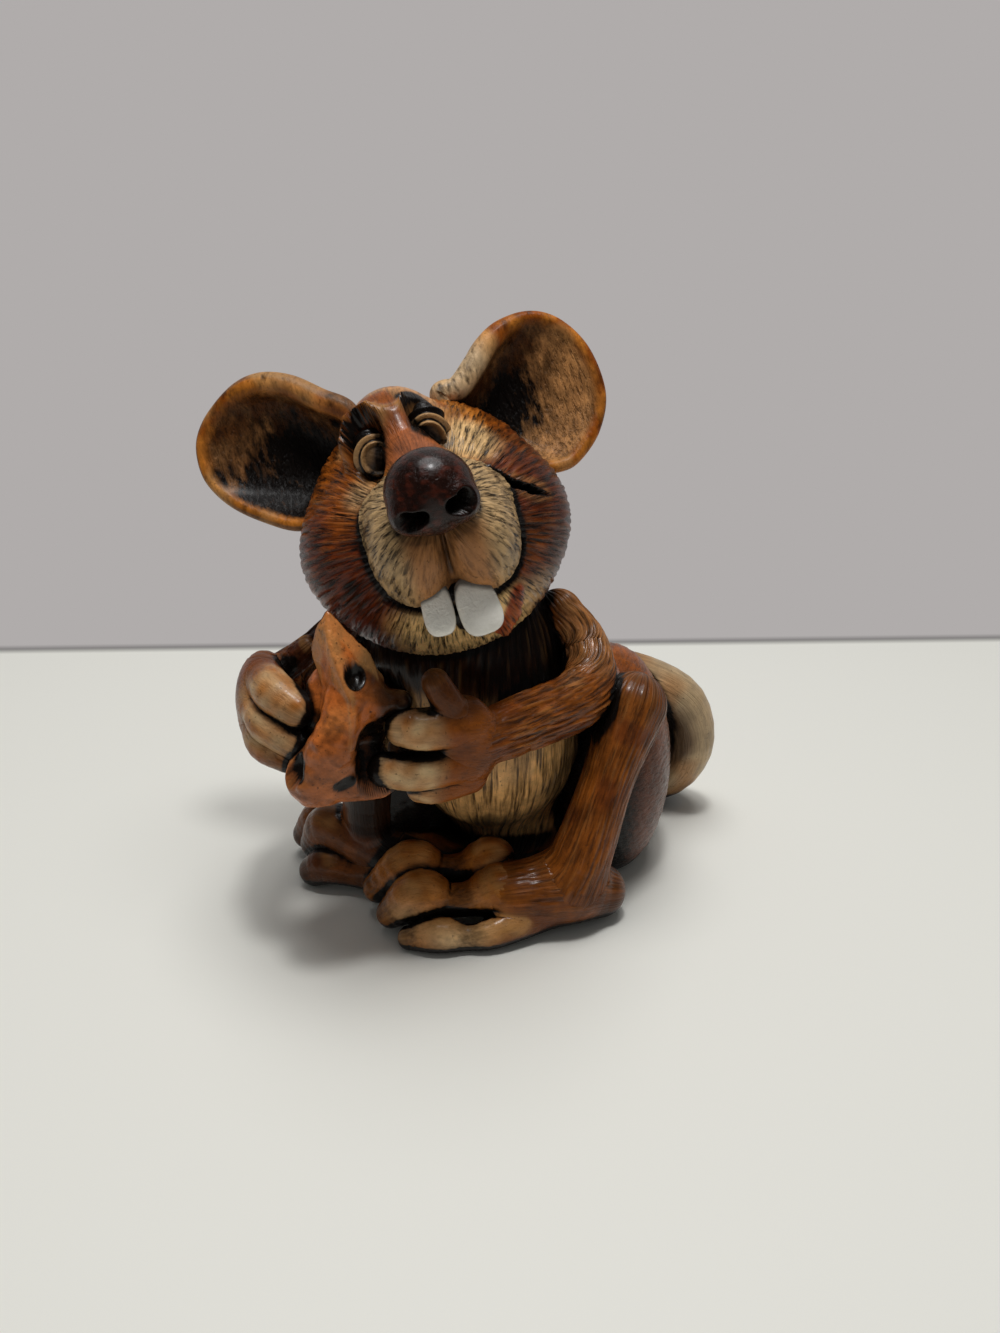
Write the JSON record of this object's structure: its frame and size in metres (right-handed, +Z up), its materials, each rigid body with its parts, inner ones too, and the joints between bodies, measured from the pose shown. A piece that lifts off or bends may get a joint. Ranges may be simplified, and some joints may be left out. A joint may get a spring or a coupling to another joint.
{
  "type": "rat figurine",
  "caption": "Seated rat ornament hugging a wedge of cheese, head tipped back in a toothy grin, with cupped ears and a curled tail, resting on a flat underside.",
  "frame": {"origin": "on the flat underside that the figurine sits on, below the middle of the body", "axes": "+Z up, the face looks along -Y, +X towards the rat's own left"},
  "size_m": [0.108, 0.0799, 0.1139],
  "materials": {
    "fur": "reddish brown painted resin with black wash in the carved hair",
    "cream": "cream painted resin, rubbed, with brown wash in the grooves",
    "ear": "amber to tan painted resin, mottled dark inside the cup",
    "nose": "dark brown gloss paint",
    "tooth": "white gloss paint",
    "cheese": "orange brown painted resin with dark holes"
  },
  "bodies": {
    "root": {"body": "fur", "head": "fur", "arm_left": "fur", "arm_right": "fur", "thigh_left": "fur", "thigh_right": "fur", "shin_left": "fur", "shin_right": "fur", "foot_left": "fur", "foot_right": "fur", "toe_left_1": "fur", "toe_left_2": "fur", "toe_left_3": "fur", "toe_right_1": "fur", "toe_right_2": "fur", "toe_right_3": "fur", "muzzle": "cream", "tail": "cream", "eye_left": "cream", "eye_right": "cream", "hand_left": "cream", "hand_right": "cream", "thumb_left": "cream", "thumb_right": "cream", "finger_left_1": "cream", "finger_left_2": "cream", "finger_left_3": "cream", "finger_right_1": "cream", "finger_right_2": "cream", "finger_right_3": "cream", "ear_left": "ear", "ear_right": "ear", "nose": "nose", "tooth_left": "tooth", "tooth_right": "tooth", "cheese": "cheese"}
  },
  "joints": []
}
